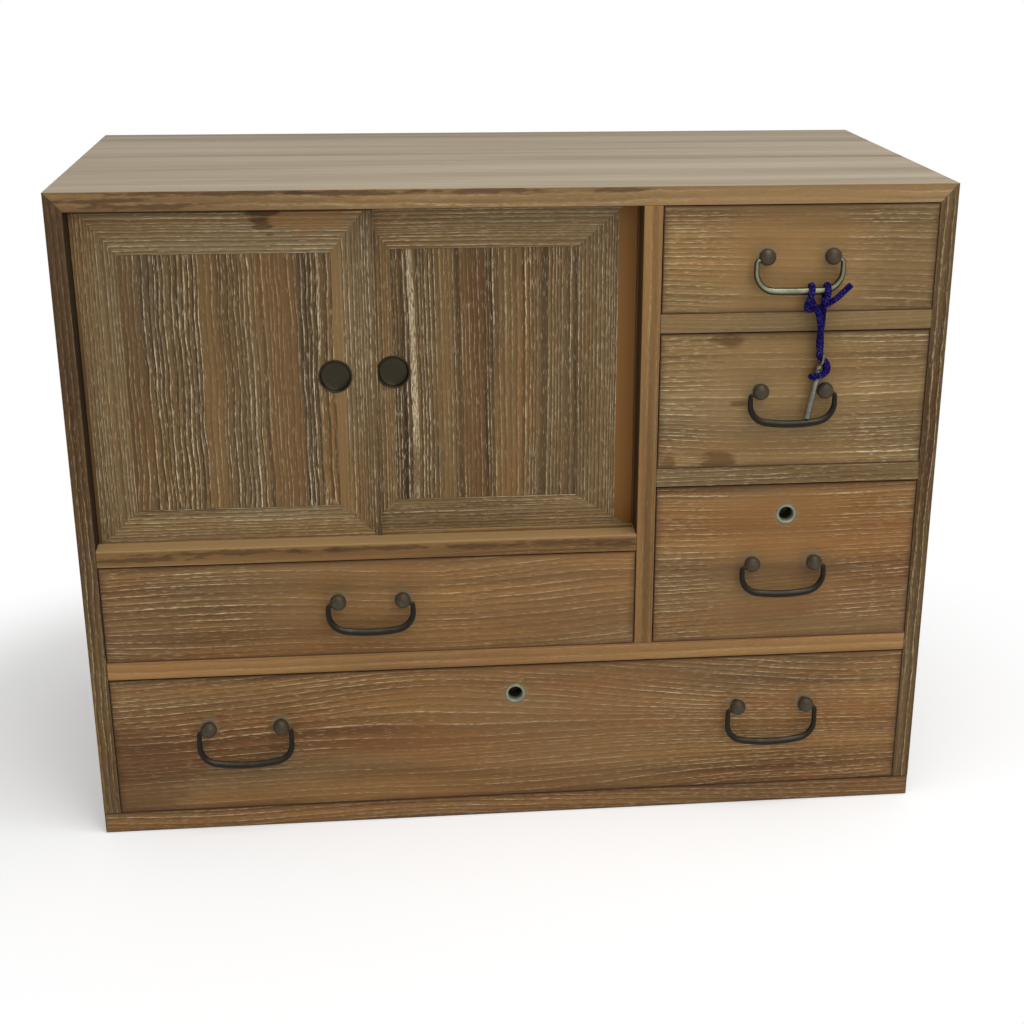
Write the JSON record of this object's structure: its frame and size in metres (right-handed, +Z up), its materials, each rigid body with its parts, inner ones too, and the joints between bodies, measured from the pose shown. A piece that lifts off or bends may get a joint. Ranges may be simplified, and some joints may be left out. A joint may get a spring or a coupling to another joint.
{
  "type": "tansu chest",
  "caption": "Low brushed-wood tansu chest with a sliding-door cupboard, drawers on iron bail handles, round keyhole rings and a key hung on a cord.",
  "frame": {"origin": "middle of the base's underside, on the floor", "axes": "+X to the right along the width, front towards -Y, +Z up"},
  "size_m": [0.76, 0.3876, 0.586],
  "materials": {
    "case_wood": "brushed, oiled, worn",
    "door_wood": "brushed grain with pale filler",
    "drawer_wood": "brushed grain with pale filler",
    "inner_wood": "plain planed",
    "dark_iron": "blackened, handled",
    "pull_metal": "blackened",
    "ring_metal": "patinated",
    "lock_steel": "dull",
    "key_steel": "bright",
    "cord_fabric": "braided"
  },
  "bodies": {
    "case": {"top_board": "case_wood", "bottom_board": "case_wood", "left_side_board": "case_wood", "right_side_board": "case_wood", "centre_partition": "case_wood", "lower_shelf": "case_wood", "cupboard_shelf": "case_wood", "lower_right_shelf": "case_wood", "upper_right_shelf": "case_wood", "back_boards": "inner_wood", "drawer_stops": "inner_wood"},
    "left_door": {"left_door_stiles": "door_wood", "left_door_rails": "door_wood", "left_door_panel": "door_wood", "left_door_pull": "pull_metal"},
    "right_door": {"right_door_stiles": "door_wood", "right_door_rails": "door_wood", "right_door_panel": "door_wood", "right_door_pull": "pull_metal"},
    "upper_drawer": {"upper_drawer_front": "drawer_wood", "upper_drawer_sides": "inner_wood", "upper_drawer_back": "inner_wood", "upper_drawer_bottom": "inner_wood", "upper_studs": "dark_iron"},
    "middle_drawer": {"middle_drawer_front": "drawer_wood", "middle_drawer_sides": "inner_wood", "middle_drawer_back": "inner_wood", "middle_drawer_bottom": "inner_wood", "middle_studs": "dark_iron"},
    "lower_drawer": {"lower_drawer_front": "drawer_wood", "lower_drawer_sides": "inner_wood", "lower_drawer_back": "inner_wood", "lower_drawer_bottom": "inner_wood", "lower_studs": "dark_iron", "lower_keyhole_ring": "ring_metal", "lower_lock_case": "lock_steel"},
    "wide_drawer": {"wide_drawer_front": "drawer_wood", "wide_drawer_sides": "inner_wood", "wide_drawer_back": "inner_wood", "wide_drawer_bottom": "inner_wood", "wide_studs": "dark_iron"},
    "bottom_drawer": {"bottom_drawer_front": "drawer_wood", "bottom_drawer_sides": "inner_wood", "bottom_drawer_back": "inner_wood", "bottom_drawer_bottom": "inner_wood", "bottom_studs": "dark_iron", "bottom_keyhole_ring": "ring_metal", "bottom_lock_case": "lock_steel"},
    "upper_bail": {"upper_bail": "dark_iron"},
    "middle_bail": {"middle_bail": "dark_iron"},
    "lower_bail": {"lower_bail": "dark_iron"},
    "wide_bail": {"wide_bail": "dark_iron"},
    "bottom_left_bail": {"bottom_left_bail": "dark_iron"},
    "bottom_right_bail": {"bottom_right_bail": "dark_iron"},
    "lower_bolt": {"lower_lock_bolt": "lock_steel"},
    "bottom_bolt": {"bottom_lock_bolt": "lock_steel"},
    "key_lanyard": {"key_cord": "cord_fabric", "key": "key_steel"}
  },
  "joints": [
    {"name": "left_door_slide", "type": "slide", "parent": "case", "child": "left_door", "axis": [1, 0, 0], "range_m": [0, 0.2253]},
    {"name": "right_door_slide", "type": "slide", "parent": "case", "child": "right_door", "axis": [1, 0, 0], "range_m": [-0.2253, 0]},
    {"name": "upper_drawer_slide", "type": "slide", "parent": "case", "child": "upper_drawer", "axis": [0, -1, 0], "range_m": [0, 0.26]},
    {"name": "middle_drawer_slide", "type": "slide", "parent": "case", "child": "middle_drawer", "axis": [0, -1, 0], "range_m": [0, 0.26]},
    {"name": "lower_drawer_slide", "type": "slide", "parent": "case", "child": "lower_drawer", "axis": [0, -1, 0], "range_m": [0, 0.26]},
    {"name": "wide_drawer_slide", "type": "slide", "parent": "case", "child": "wide_drawer", "axis": [0, -1, 0], "range_m": [0, 0.26]},
    {"name": "bottom_drawer_slide", "type": "slide", "parent": "case", "child": "bottom_drawer", "axis": [0, -1, 0], "range_m": [0, 0.26]},
    {"name": "upper_bail_hinge", "type": "hinge", "parent": "upper_drawer", "child": "upper_bail", "pos_m": [0.2428, -0.194, 0.5245], "axis": [-1, 0, 0], "range_deg": [0, 155]},
    {"name": "middle_bail_hinge", "type": "hinge", "parent": "middle_drawer", "child": "middle_bail", "pos_m": [0.2428, -0.194, 0.4069], "axis": [-1, 0, 0], "range_deg": [-10, 150]},
    {"name": "lower_bail_hinge", "type": "hinge", "parent": "lower_drawer", "child": "lower_bail", "pos_m": [0.2428, -0.194, 0.24599], "axis": [-1, 0, 0], "range_deg": [-10, 190]},
    {"name": "wide_bail_hinge", "type": "hinge", "parent": "wide_drawer", "child": "wide_bail", "pos_m": [-0.12945, -0.194, 0.2232], "axis": [-1, 0, 0], "range_deg": [-10, 190]},
    {"name": "bottom_left_bail_hinge", "type": "hinge", "parent": "bottom_drawer", "child": "bottom_left_bail", "pos_m": [-0.2465, -0.194, 0.1032], "axis": [-1, 0, 0], "range_deg": [-10, 190]},
    {"name": "bottom_right_bail_hinge", "type": "hinge", "parent": "bottom_drawer", "child": "bottom_right_bail", "pos_m": [0.2395, -0.194, 0.1032], "axis": [-1, 0, 0], "range_deg": [-10, 190]},
    {"name": "lower_bolt_slide", "type": "slide", "parent": "lower_drawer", "child": "lower_bolt", "axis": [0, 0, 1], "range_m": [0, 0.01]},
    {"name": "bottom_bolt_slide", "type": "slide", "parent": "bottom_drawer", "child": "bottom_bolt", "axis": [0, 0, 1], "range_m": [0, 0.01]},
    {"name": "key_lanyard_swing", "type": "hinge", "parent": "upper_bail", "child": "key_lanyard", "pos_m": [0.2428, -0.194, 0.4963], "axis": [-1, 0, 0], "range_deg": [-155, 0]}
  ],
  "couplings": [
    {"joint": "key_lanyard_swing", "follows": "upper_bail_hinge", "ratio": -1}
  ]
}
